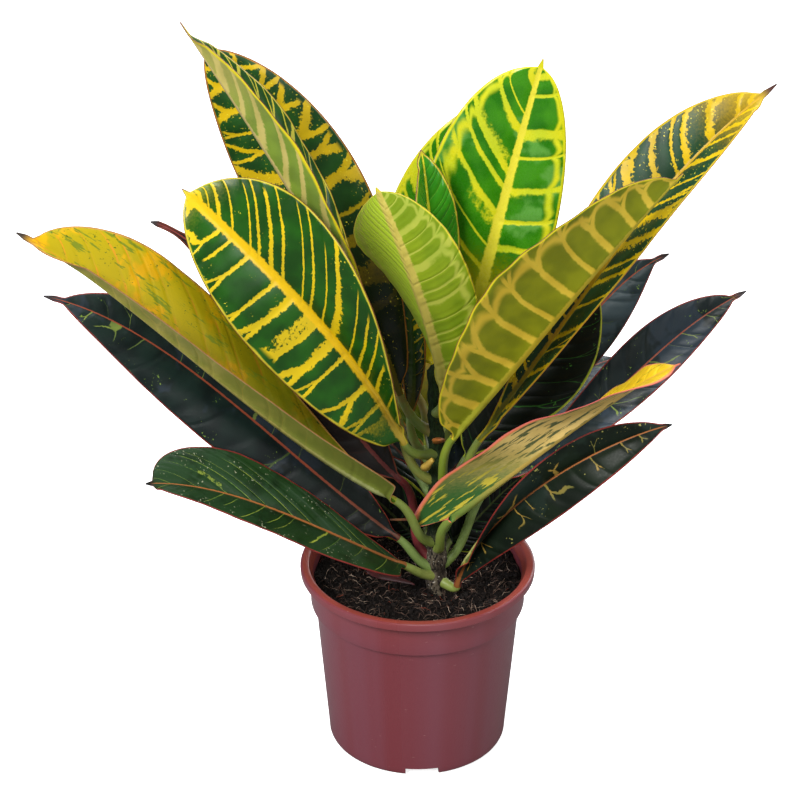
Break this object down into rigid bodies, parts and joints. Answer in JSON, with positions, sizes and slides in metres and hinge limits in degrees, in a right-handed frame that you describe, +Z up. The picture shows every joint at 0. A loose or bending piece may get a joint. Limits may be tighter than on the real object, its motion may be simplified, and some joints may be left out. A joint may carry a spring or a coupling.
{
  "type": "potted croton",
  "caption": "Bushy croton house plant with broad veined leaves on a woody stem, growing in a round tapered nursery pot filled with soil.",
  "frame": {"origin": "centre of the pot's underside, on the surface that the pot stands on", "axes": "+Z up along the pot's axis; -Y towards the front of the plant, +X to its right"},
  "size_m": [0.3447, 0.2064, 0.3964],
  "materials": {
    "pot": "satin injection-moulded plastic",
    "soil": null,
    "stem": "rough grey-brown bark",
    "leaf_fresh": null,
    "leaf_lime": null,
    "leaf_olive": null,
    "leaf_dark": null,
    "leaf_black": null,
    "leaf_slate": null,
    "leaf_gold": null,
    "leaf_tan": null,
    "leaf_maroon": null
  },
  "bodies": {
    "root": {"leaf_back_high": "leaf_fresh", "leaf_back_high_left": "leaf_dark", "leaf_back_high_right": "leaf_dark", "leaf_back_left": "leaf_slate", "leaf_back_low": "leaf_dark", "leaf_back_low_left": "leaf_dark", "leaf_back_low_right": "leaf_black", "leaf_back_mid": "leaf_gold", "leaf_back_right": "leaf_slate", "leaf_centre_blotched": "leaf_dark", "leaf_front_left_broad": "leaf_fresh", "leaf_front_right_broad": "leaf_olive", "leaf_left_golden": "leaf_gold", "leaf_left_maroon": "leaf_maroon", "leaf_left_slate": "leaf_slate", "leaf_low_left": "leaf_dark", "leaf_low_right": "leaf_dark", "leaf_right_black": "leaf_black", "leaf_right_slate_long": "leaf_slate", "leaf_right_slate_upper": "leaf_slate", "leaf_right_tan_folded": "leaf_tan", "leaf_top_behind": "leaf_fresh", "leaf_top_broad": "leaf_fresh", "leaf_top_left_dark": "leaf_dark", "leaf_top_left_folded": "leaf_lime", "leaf_upper_right_long": "leaf_dark", "leaf_young_pale": "leaf_lime", "leaf_young_small": "leaf_fresh", "pot": "pot", "soil": "soil", "stem": "stem"}
  },
  "joints": []
}
